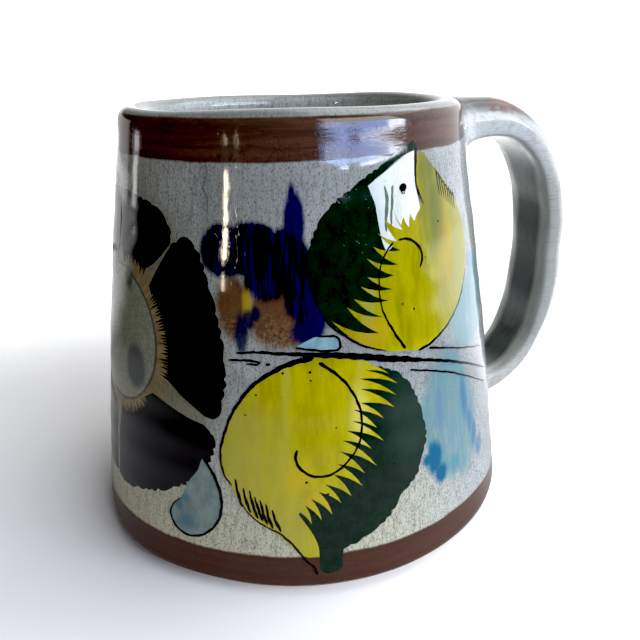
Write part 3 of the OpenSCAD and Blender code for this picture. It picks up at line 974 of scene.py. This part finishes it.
def paint_materials():
    """One material for each colour on the brush."""
    out = {}

    def spots(*shapes):
        """Union of soft ellipses: place s and z, half sizes and softness."""
        return union(m, [blob(m, s, z, *shape) for shape in shapes])

    tones = (19, 34, 24), (26, 44, 32), (38, 60, 46)
    m, s, z, full, colour, relief = paint("paint_dark_green", tones, 0.5, 0.3)
    # a paler patch on the lower wing's green: a painted reflection of the floor
    colour = m.lay(colour, spots((64.5, 35.5, 4.5, 10.0, 0.6)) * 0.55, 54, 72, 62)
    out["green"] = paint_finish(m, colour, relief)

    tones = (142, 136, 26), (172, 164, 28), (206, 198, 80)
    m, s, z, full, colour, relief = paint("paint_yellow", tones, 0.45, 0.9)
    wide = m.noise(m.vec(full, z * 0.10, 3.0), 0.28, 2.0, 0.5)
    faded = spots((84.0, 62.0, 8.0, 15.0, 0.7), (33.5, 28.0, 7.5, 14.0, 0.6), (42.5, 14.0, 5.0, 8.0, 0.6))
    colour = m.lay(colour, faded * m.ramp(wide, 0.3, 0.6, 0.40, 0.75), 158, 156, 86)
    colour = m.lay(colour, m.ramp(wide, 0.55, 0.75) * 0.5, 160, 162, 96)
    warm = spots((77.6, 66.5, 2.6, 6.5, 0.7), (43.2, 26.0, 2.2, 3.0, 0.6),
                 (57.5, 52.6, 4.5, 2.6, 0.6), (47.0, 20.6, 3.0, 2.2, 0.6))
    colour = m.lay(colour, warm * 0.7, 190, 160, 44)
    shade = spots((74.8, 73.0, 3.4, 7.4, 0.6), (74.0, 80.6, 2.6, 3.8, 0.6))
    colour = m.lay(colour, shade * m.ramp(wide, 0.25, 0.5, 0.6, 1.0) * 0.9, 98, 108, 58)
    # a pale streak on the lower wing: a painted reflection
    reflection_streak = spots((54.6, 37.0, 1.7, 5.5, 0.7))
    colour = m.lay(colour, reflection_streak * 0.7, 226, 220, 120)
    colour = m.lay(colour, m.ramp(z, 47.0, 51.0, 0.0, 0.22), 120, 116, 14)
    colour = m.lay(colour, m.ramp(z, 46.0, 50.0, 0.30, 0.0), 206, 190, 40)
    out["yellow"] = paint_finish(m, colour, relief)

    tones = (206, 212, 204), (236, 238, 224), (246, 247, 236)
    m, s, z, full, colour, relief = paint("paint_white", tones, 0.3, 0.8)
    colour = m.lay(colour, m.ramp(s, 61.0, 66.0, 0.5, 0.0), 196, 214, 220)
    out["white"] = paint_finish(m, colour, relief)

    for key, name, tones, rough in (
            ("ink", "paint_black_line", ((6, 6, 7), (14, 13, 14), (40, 40, 42)), 0.10),
            ("petal", "paint_soot_brown", ((10, 7, 8), (22, 16, 15), (58, 44, 34)), 0.08),
            ("shade", "paint_grey_green", ((82, 98, 88), (112, 128, 116), (160, 172, 160)), 0.08),
            ("pale", "paint_pale_blue", ((112, 150, 162), (138, 176, 186), (176, 200, 204)), 0.08)):
        m, s, z, full, colour, relief = paint(name, tones, 0.5, 0.4)
        if key == "petal":
            across = m.noise(m.vec(full * 0.3, z, 2.0), 1.0, 3.0, 0.6)
            colour = m.lay(colour, m.ramp(across, 0.60, 0.75) * 0.5, 40, 30, 26)
        out[key] = paint_finish(m, colour, relief, rough)

    tones = (112, 130, 130), (134, 150, 148), (160, 170, 164)
    m, s, z, full, colour, relief = paint("paint_leaf_wash", tones, 0.5, 0.4)
    wet = spots((21.4, 19.0, 1.5, 1.1, 0.6), (20.6, 17.4, 0.9, 1.6, 0.6), (22.0, 14.0, 1.6, 1.8, 0.8))
    colour = m.lay(colour, wet * 0.75, 62, 112, 128)
    out["leaf"] = paint_finish(m, colour, relief)
    return out


def sway_of(m):
    """A slow wander, a millimetre or two, that keeps crackle from looking drawn with a ruler."""
    return (m.noise(m.place, 0.5, 2.0) - 0.5) * 4.0


def painted_wall():
    """The outer coat: grey glaze with its brown bands, the soft-edged washes and the blue flower."""
    m = Sheet("painted_wall_glaze")
    s, z, full = wall_coordinates(m)
    streak, fine, cloud, craze, pit = glaze_relief(m, full)
    base = m.mix(m.ramp(cloud, 0.38, 0.62), srgb(151, 155, 153), srgb(171, 176, 174))
    low_tone = m.mix(m.ramp(m.x, 2.0, 32.0), srgb(204, 202, 176), srgb(178, 182, 179))
    base = m.mix(m.ramp(z, 12.0, 38.0, 0.88, 0.0), base, low_tone)
    base = m.lay(base, m.ramp(streak, 0.46, 0.66) * 0.5, 122, 124, 119)
    base = m.lay(base, m.ramp(streak, 0.26, 0.44, 0.35, 0.0), 184, 188, 184)
    base = m.lay(base, m.ramp(fine, 0.51, 0.61) * 0.72, 84, 85, 81)
    # pale hairlines along the crackle: painted highlights that the crazing's edges catch
    hair_glint = m.cells(m.vec(full + sway_of(m) * 0.5, m.z * 0.35, 8.0), 0.42)
    base = m.lay(base, m.ramp(hair_glint, 0.002, 0.014, 0.25, 0.0), 192, 194, 188)
    base = m.lay(base, craze * 0.5, 72, 72, 68)
    base = m.lay(base, pit * 0.7, 48, 46, 42)
    height = wavy(m, (streak, fine, craze, pit))

    # brown slip bands under the lip and above the foot
    edge_noise = (m.noise(m.place, 0.12, 2.0) - 0.5) * 1.3 + (m.noise(m.place, 0.9, 2.0) - 0.5) * 0.5
    brush = m.noise(m.vec(full * 0.05, m.z, 7.0), 0.8, 3.0, 0.55)
    brush_fine = m.noise(m.vec(full * 0.10, m.z, 9.0), 3.4, 3.0, 0.6)
    mottle = m.noise(m.place, 1.1, 4.0, 0.75)
    crackle = m.cells(m.vec(full + sway_of(m) * 0.8, m.z * 0.7, 2.0), 0.95)
    crackle = m.ramp(crackle, 0.01, 0.07, 1.0, 0.0) * m.ramp(m.noise(m.place, 0.10, 2.0), 0.44, 0.60)
    brown = m.mix(m.ramp(brush, 0.35, 0.65), srgb(70, 51, 43), srgb(88, 63, 52))
    brown = m.lay(brown, m.ramp(brush_fine, 0.54, 0.72) * 0.28, 112, 86, 72)
    brown = m.lay(brown, m.ramp(mottle, 0.50, 0.70) * 0.45, 58, 43, 37)
    brown = m.lay(brown, crackle * 0.6, 44, 33, 28)
    brown = m.lay(brown, m.ramp(z, 0.7, 1.2, 0.8, 0.0), 150, 130, 112)
    radial = m.math("SQRT", m.x * m.x + m.y * m.y)
    rim_low = m.ramp(z + edge_noise * 0.55 + m.math("SINE", full / 43.0 + 1.0) * 0.7, 83.9, 84.35)
    rim_top = m.ramp(z + edge_noise * 0.22, 90.55, 90.95, 1.0, 0.0)
    rim_side = m.ramp(radial, 34.4, 34.9)
    from_front = m.math("COSINE", full / PAINT_R - FRONT_TURN)
    foot_drop = m.ramp(from_front, 0.15, 0.75, 3.4, 0.0) * m.ramp(m.x, -20.0, 10.0, 1.0, 0.55)
    foot_mask = m.ramp(z + edge_noise * 0.6 + foot_drop, 8.9, 9.5, 1.0, 0.0)
    band = m.high(rim_low * rim_top * rim_side, foot_mask)
    brown = m.lay(brown, m.ramp(z, 14.0, 20.0, 0.6, 0.0), 78, 47, 33)

    lip_shade = m.ramp(z, 90.4, 91.2) * 0.62
    base = m.lay(base, lip_shade, 104, 105, 100)
    colour = soft_painting(m, s, z, full, base)
    colour = m.mix(band, colour, brown)
    slip_height = brush * 0.4 + brush_fine * 0.3 + mottle * 0.4 - crackle * 0.12
    height = height * (1 - band * 0.4) + band * slip_height
    rough = m.ramp(m.noise(m.place, 0.2, 3.0), 0.3, 0.7, 0.03, 0.08) + band * 0.02 + pit * 0.2
    return glazed(m, colour, rough, height)


def plain_glaze(name, light, dark, on_handle=False):
    """Grey glaze without painting, for the inside and the handle."""
    m = Sheet(name)
    angle = m.math("ARCTAN2", m.y, m.x) * PAINT_R
    streak, fine, cloud, craze, pit = glaze_relief(m, angle)
    colour = m.mix(m.ramp(cloud, 0.36, 0.64), light, dark)
    colour = m.mix(m.ramp(streak, 0.42, 0.72) * 0.5, colour, tuple(v * 0.62 for v in dark))
    speck = m.noise(m.place, 0.8, 4.0, 0.7)
    colour = m.mix(m.ramp(speck, 0.56, 0.76) * 0.5, colour, tuple(v * 0.55 for v in dark))
    colour = m.mix(craze * 0.3, colour, tuple(v * 0.4 for v in dark))
    colour = m.lay(colour, pit * 0.6, 60, 52, 44)
    if on_handle:
        # worn rust on the top; painted light on the sides, paler high up and near the strap's foot; painted
        # shade on the top face high up; and the painted shadow on the inner face that looks into the finger
        # gap, lifted by painted light towards its edges
        face_x, face_y, face_z = m.split(m.add("NewGeometry").outputs["Normal"])
        to_gap_x = BEND_X - m.x
        to_gap_z = HANDLE_MID_Z - m.z
        reach = m.math("SQRT", to_gap_x * to_gap_x + to_gap_z * to_gap_z)
        towards_gap = (face_x * to_gap_x + face_z * to_gap_z) / reach
        side_face = m.ramp(m.math("ABSOLUTE", face_y), 0.45, 0.85)
        # painted light: the sides take a pale tone, paler high up and near the strap's foot
        lit_side_tone = m.mix(m.ramp(m.z, 66.0, 84.0), srgb(172, 173, 164), srgb(212, 215, 211))
        lit_side_tone = m.lay(lit_side_tone, m.ramp(m.z, 14.0, 34.0, 1.0, 0.0), 206, 205, 196)
        lit_side_tone = m.lay(lit_side_tone, m.ramp(fine, 0.46, 0.66) * 0.35, 128, 130, 124)
        lit_side_tone = m.lay(lit_side_tone, m.ramp(streak, 0.52, 0.70) * 0.25, 118, 122, 118)
        # painted light along both edges of the inner face, where the painted shadow lifts
        lit_edge = m.ramp(m.math("ABSOLUTE", m.y), 3.6, 6.0)
        lit_side_share = m.high(side_face * 0.85, lit_edge * m.ramp(towards_gap, 0.5, 0.8) * 0.9)
        colour = m.mix(lit_side_share, colour, lit_side_tone)
        shadow = m.ramp(towards_gap, 0.62, 0.94, 0.0, 0.95) * m.ramp(m.z, 16.0, 34.0, 0.6, 1.0)
        colour = m.lay(colour, shadow * (1 - lit_edge * 0.95), 26, 28, 27)
        # painted shade: the upward-facing top of the strap high up is darkened
        shaded_top = m.ramp(face_z, 0.30, 0.80) * m.ramp(m.z, 82.0, 87.0)
        colour = m.lay(colour, shaded_top * 0.92, 48, 44, 40)
        rust = m.ramp(m.z + (m.noise(m.place, 0.3, 3.0) - 0.5) * 3.0, 86.2, 89.2)
        rust = rust * m.ramp(m.x + (m.noise(m.place, 0.4, 3.0) - 0.5) * 4, 45.5, 48.5)
        rust = rust * m.ramp(m.noise(m.place, 0.5, 3.0), 0.30, 0.52)
        colour = m.lay(colour, rust, 104, 52, 34)
    height = streak * 0.3 + fine * 0.10 - craze * 0.3 - pit * 1.4 + m.noise(m.place, 0.3, 3.0) * 1.2
    rough = m.ramp(m.noise(m.place, 0.22, 3.0), 0.3, 0.7, 0.06, 0.16) + pit * 0.2
    return glazed(m, colour, rough, height, 0.25, 0.12)


def bare_clay():
    """Unglazed stoneware: warm tan, gritty, with iron specks and darker at the very bottom of the foot."""
    m = Sheet("bare_stoneware")
    grain = m.noise(m.place, 1.6, 5.0, 0.7)
    cloud = m.noise(m.place, 0.08, 3.0)
    colour = m.mix(m.ramp(cloud, 0.35, 0.65), srgb(158, 132, 104), srgb(126, 104, 84))
    colour = m.lay(colour, m.ramp(grain, 0.5, 0.75) * 0.6, 186, 164, 136)
    speck = m.ramp(m.cells(m.place, 0.7, "F1"), 0.08, 0.16, 1.0, 0.0)
    colour = m.lay(colour, speck * 0.7, 70, 46, 34)
    # darker within half a millimetre of the table
    foot_bottom_dark = m.ramp(m.z, 0.05, 0.5, 1.0, 0.0)
    colour = m.lay(colour, foot_bottom_dark * 0.35, 112, 96, 82)
    height = grain * 1.2 + m.noise(m.place, 5.0, 2.0) * 0.6 - speck
    rough = m.ramp(grain, 0.3, 0.7, 0.72, 0.9)
    return m.finish(colour, rough, height, strength=0.5, depth=0.12)


# ---------------------------------------------------------------- build the pot
WALL_GLAZE = painted_wall()
LINER_GLAZE = plain_glaze("grey_liner_glaze", srgb(232, 232, 222), srgb(200, 198, 186))
HANDLE_GLAZE = plain_glaze("grey_handle_glaze", srgb(162, 166, 162), srgb(132, 136, 132), on_handle=True)
CLAY = bare_clay()

quarter = THETA_STEPS // 4


def column(azimuth_deg):
    """Column of the skin grid nearest to an azimuth in degrees."""
    return int(round(azimuth_deg / 360 * THETA_STEPS))


pieces = []
starts = {"wall_glaze_front_left": 180, "wall_glaze_front_right": 270,
          "wall_glaze_back_right": 0, "wall_glaze_back_left": 90}
for k, (name, start) in enumerate(starts.items()):
    piece = skin_piece(name, "wall", "rim_band", column(start), column(start) + quarter,
                       ("wall_glaze",))
    pieces.append((piece, WALL_GLAZE))
for name, first, last, slot, node in (("foot_band_slip", "foot_band", "wall", "brown_slip", "foot_band"),
                                      ("rim_band_slip", "rim_band", "lip", "brown_slip", "rim_band"),
                                      ("lip_glaze_ring", "lip", "liner", "lip_glaze", "lip_glaze"),
                                      ("liner_glaze_skin", "liner", "end", "grey_glaze", "liner_glaze")):
    liner = last == "end"
    piece = skin_piece(name, first, last, 0, THETA_STEPS, (node,), closed_end=liner)
    pieces.append((piece, LINER_GLAZE if liner else WALL_GLAZE))
pieces.append((handle_mesh(), HANDLE_GLAZE))
for name in ("clay_body", "foot_ring", "handle_core"):
    pieces.append((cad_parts[name], CLAY))
for piece, material in pieces:
    piece.data.materials.clear()
    piece.data.materials.append(material)

LAYER_STEP = 0.03
ORDER = ("petal", "leaf", "pale", "green", "white", "shade", "yellow", "ink")
LAYER_NAMES = {"leaf": "leaf_wash", "pale": "butterfly_head", "green": "butterfly_green",
               "white": "butterfly_white", "shade": "butterfly_grey_strokes",
               "yellow": "butterfly_yellow", "ink": "black_line_work"}
PAINTS = paint_materials()


def paint_side(prefix, side):
    """The butterfly, its lines and the leaf on one side of the mug."""
    shapes = {}
    for motif in (leaf, upper_wing, lower_wing, body_lines):
        for key, parts in motif().items():
            shapes.setdefault(key, []).extend(parts)
    for key, parts in shapes.items():
        lift = LAYER_STEP * (1 + ORDER.index(key) * 0.6)
        paint_layer(prefix + "_" + LAYER_NAMES[key], parts, side, lift, PAINTS[key])


paint_side("front", 1)
paint_side("back", -1)
for side, name in ((1, "flower_petals_right"), (-1, "flower_petals_left")):
    paint_layer(name, flower_petals()["petal"], side, LAYER_STEP, PAINTS["petal"])


# ---------------------------------------------------------------- floor, light and camera
def floor_disc():
    """A pale floor with painted light that meets the white surroundings: for the camera it glows more away
    from the mug; what the glaze mirrors of it is painted darker on the left.
    """
    radius, rings, spokes = 3000.0, 24, 96
    below = -0.02
    far_x, far_y = 0.5, 0.866
    right_x, right_y = 0.94, 0.34
    points, faces = [(0, 0, below)], []
    for i in range(1, rings + 1):
        r = radius * (i / rings) ** 2
        turns = [2 * math.pi * k / spokes for k in range(spokes)]
        points += [(r * math.cos(a), r * math.sin(a), below) for a in turns]
    for k in range(spokes):
        faces.append((0, 1 + k, 1 + (k + 1) % spokes))
    for i in range(rings - 1):
        for k in range(spokes):
            a, b = 1 + i * spokes + k, 1 + i * spokes + (k + 1) % spokes
            faces.append((a, a + spokes, b + spokes, b))
    mesh = bpy.data.meshes.new("studio_floor")
    mesh.from_pydata([tuple(v * MM for v in p) for p in points], [], faces)
    mesh.update()
    obj = placed("studio_floor", mesh)
    m = Sheet("studio_floor_paper")
    distance = m.math("SQRT", m.x * m.x + m.y * m.y)
    tone = m.mix(m.noise(m.place, 0.01, 2.0), (0.80, 0.80, 0.82), (0.84, 0.84, 0.86))
    grain = m.noise(m.place, 0.6, 3.0)
    material = m.finish(tone, m.ramp(grain, 0.3, 0.7, 0.55, 0.7), grain, strength=0.1, depth=0.05)
    seen = next(n for n in m.tree.nodes if n.type == "BSDF_PRINCIPLED")
    seen.inputs["Emission Color"].default_value = (1, 1, 1, 1)
    # painted light for the camera: the floor glows more away from the mug, behind it, to its right and a
    # little in front
    behind = m.ramp(m.y, 60.0, 210.0, 0.0, 1.0)
    to_right = m.ramp(m.x, -50.0, 40.0, 0.0, 0.30)
    in_front = m.ramp(m.y, -55.0, -15.0, 0.12, 0.0)
    m.put(seen.inputs["Emission Strength"], m.ramp(distance, 130.0, 520.0) + behind + to_right + in_front)
    lit = m.add("BsdfDiffuse")
    # what the glaze mirrors: painted shade, lighter near the mug and behind it, and a painted glow behind
    # and to the right
    short_side = m.ramp(distance, 80.0, 220.0, 0.52, 0.06)
    long_side = m.ramp(m.x * far_x + m.y * far_y, 20.0, 90.0, 0.0, 0.95)
    glow_side = long_side * m.ramp(m.x * right_x + m.y * right_y, 20.0, 90.0)
    m.put(lit.inputs["Color"], m.mix(m.high(short_side, long_side), (0.0, 0.0, 0.0), (1.0, 1.0, 1.0)))
    glow = m.add("Emission")
    m.put(glow.inputs["Strength"], glow_side)
    lit_and_glow = m.add("AddShader")
    m.link(lit.outputs[0], lit_and_glow.inputs[0])
    m.link(glow.outputs[0], lit_and_glow.inputs[1])
    path = m.add("LightPath")
    both = m.add("MixShader")
    m.link(path.outputs["Is Camera Ray"], both.inputs[0])
    m.link(lit_and_glow.outputs[0], both.inputs[1])
    m.link(seen.outputs[0], both.inputs[2])
    m.link(both.outputs[0], m.out.inputs[0])
    mesh.materials.append(material)


LIGHT_DISTANCE = 900.0


def lamp(name, size, radiance, colour=(1, 1, 1)):
    """A flat light of a size in millimetres, as bright as its radiance says."""
    light = bpy.data.lights.new(name, "AREA")
    light.shape = "RECTANGLE"
    light.size = size[0] * MM
    light.size_y = size[1] * MM
    light.energy = radiance * math.pi * light.size * light.size_y
    light.color = colour
    return placed(name, light)


def panel(name, azimuths, heights, radiance, colour=(1, 1, 1), distance=LIGHT_DISTANCE):
    """An upright light on a wide circle round the mug, between two azimuths and two heights."""
    a0, a1 = (math.radians(a) for a in azimuths)
    z0, z1 = heights
    middle = (a0 + a1) / 2
    width = 2 * distance * math.sin(abs(a1 - a0) / 2)
    obj = lamp(name, (width, z1 - z0), radiance, colour)
    out = Vector((math.cos(middle), math.sin(middle), 0))
    obj.location = (out * distance + Vector((0, 0, (z0 + z1) / 2))) * MM
    obj.rotation_euler = out.to_track_quat("Z", "Y").to_euler()


def overhead(name, azimuth, elevation, distance, side, radiance):
    """A square light above the mug that faces it; lengths in millimetres, angles in degrees."""
    obj = lamp(name, (side, side), radiance)
    a, e = math.radians(azimuth), math.radians(elevation)
    out = Vector((math.cos(a) * math.cos(e), math.sin(a) * math.cos(e), math.sin(e)))
    obj.location = out * distance * MM
    obj.rotation_euler = out.to_track_quat("Z", "Y").to_euler()


# the bright side of the room, in degrees, and how strongly the two sides light the mug
BRIGHT_AZIMUTH = 30.0
BRIGHT_ELEVATION = 22.0
DARK_SIDE = 0.05
BRIGHT_SIDE = 1.7
BACKDROP = 1.15


def world_light():
    """White surroundings for the camera; the light they give falls off towards the dark side of the room."""
    world = bpy.data.worlds.new("studio")
    bpy.context.scene.world = world
    world.use_nodes = True
    tree = world.node_tree
    tree.nodes.clear()
    kinds = ("OutputWorld", "TexCoord", "VectorMath", "MapRange", "Background", "Background",
             "LightPath", "MixShader")
    nodes = [tree.nodes.new("ShaderNode" + kind) for kind in kinds]
    out, coord, turn, fall, room, white, path, mix = nodes
    azimuth, elevation = math.radians(BRIGHT_AZIMUTH), math.radians(BRIGHT_ELEVATION)
    level = math.cos(elevation)
    turn.operation = "DOT_PRODUCT"
    turn.inputs[1].default_value = (math.cos(azimuth) * level, math.sin(azimuth) * level,
                                    math.sin(elevation))
    fall.interpolation_type = "SMOOTHSTEP"
    for i, value in enumerate((0.25, 0.90, DARK_SIDE, BRIGHT_SIDE)):
        fall.inputs[i + 1].default_value = value
    room.inputs["Color"].default_value = (0.97, 0.98, 1.0, 1)
    white.inputs["Color"].default_value = (1, 1, 1, 1)
    white.inputs["Strength"].default_value = BACKDROP
    for source, target in ((coord.outputs["Generated"], turn.inputs[0]),
                           (turn.outputs["Value"], fall.inputs[0]),
                           (fall.outputs[0], room.inputs["Strength"]),
                           (path.outputs["Is Camera Ray"], mix.inputs[0]),
                           (room.outputs[0], mix.inputs[1]),
                           (white.outputs[0], mix.inputs[2]),
                           (mix.outputs[0], out.inputs[0])):
        tree.links.new(source, target)


# the camera's place in millimetres, its aim, its roll in radians and its lens in millimetres
CAMERA_PLACE = (-40.96, -142.83, 98.58)
CAMERA_AIM = (0.28775, 0.88357, -0.36945)
CAMERA_ROLL = -0.0229
CAMERA_LENS = 36.0


def camera_view():
    """The camera at the photo's viewing angle."""
    data = bpy.data.cameras.new("camera")
    data.lens = CAMERA_LENS
    data.sensor_width = 36.0
    data.clip_start = 0.01
    obj = placed("camera", data)
    forward = Vector(CAMERA_AIM).normalized()
    right = forward.cross(Vector((0, 0, 1))).normalized()
    up = right.cross(forward)
    cam_x = right * math.cos(CAMERA_ROLL) + up * math.sin(CAMERA_ROLL)
    cam_y = up * math.cos(CAMERA_ROLL) - right * math.sin(CAMERA_ROLL)
    turn = Matrix((cam_x, cam_y, -forward)).transposed()
    obj.matrix_world = Matrix.Translation(Vector(CAMERA_PLACE) * MM) @ turn.to_4x4()
    bpy.context.scene.camera = obj


floor_disc()
world_light()
SKY = (0.33, 0.50, 1.0)
CLOUD = (0.84, 0.92, 1.0)
WARM = (1.0, 0.86, 0.60)
SKY_FOOT = 262
SKY_TOP = 345
# The window on the right, seen in the glaze as a patch of sky with cloud along its foot. Each entry
# is a strip between two azimuths that ends at a roof's height.
SKYLINE = ((-87, -84, 318), (-84, -80, 300), (-80, -77, 278), (-77, -72, 240), (-72, -65, 284),
           (-65, -60, 240), (-60, -54, 232), (-54, -38, 240), (-38, -31, 240))
for k, (a0, a1, foot) in enumerate(SKYLINE):
    panel(f"window_sky_{k}", (a0, a1), (max(foot, SKY_FOOT), SKY_TOP), 15.0, SKY)
    if foot < SKY_FOOT:
        panel(f"window_cloud_{k}", (a0, a1), (foot, SKY_FOOT), 22.0, CLOUD)
panel("window_bright_cloud", (-45, -31), (252, 330), 14.0, distance=LIGHT_DISTANCE - 20)
# lamplight through narrow gaps on the left: azimuths and heights
for k, (a0, a1, z0, z1) in enumerate(((-147.2, -146.4, 200, 262), (-147.2, -145.6, 162, 215),
                                      (-146.9, -144.3, 86, 162), (-146.3, -145.7, 52, 86),
                                      (-140.0, -139.2, 280, 288))):
    panel(f"warm_gap_{k}", (a0, a1), (z0, z1), 58.0, WARM)
panel("left_gap", (140, 145.5), (25, 165), 3.8, (0.94, 0.92, 0.94))
panel("back_left_wall", (84, 134), (0, 260), 0.85)
panel("window_upper", (-87, -30), (SKY_TOP, 900), 6.0, (0.97, 0.98, 1.0))
overhead("ceiling_light", azimuth=0, elevation=62, distance=1000, side=800, radiance=1.7)
camera_view()
# the photo's darkest tones are clipped, so tones below this level are shown as black
BLACK_LEVEL = 0.02
scene = bpy.context.scene
scene.view_settings.view_transform = "Standard"
scene.view_settings.look = "None"
scene.view_settings.use_curve_mapping = True
scene.view_settings.curve_mapping.black_level = (BLACK_LEVEL, BLACK_LEVEL, BLACK_LEVEL)
scene.view_settings.curve_mapping.update()
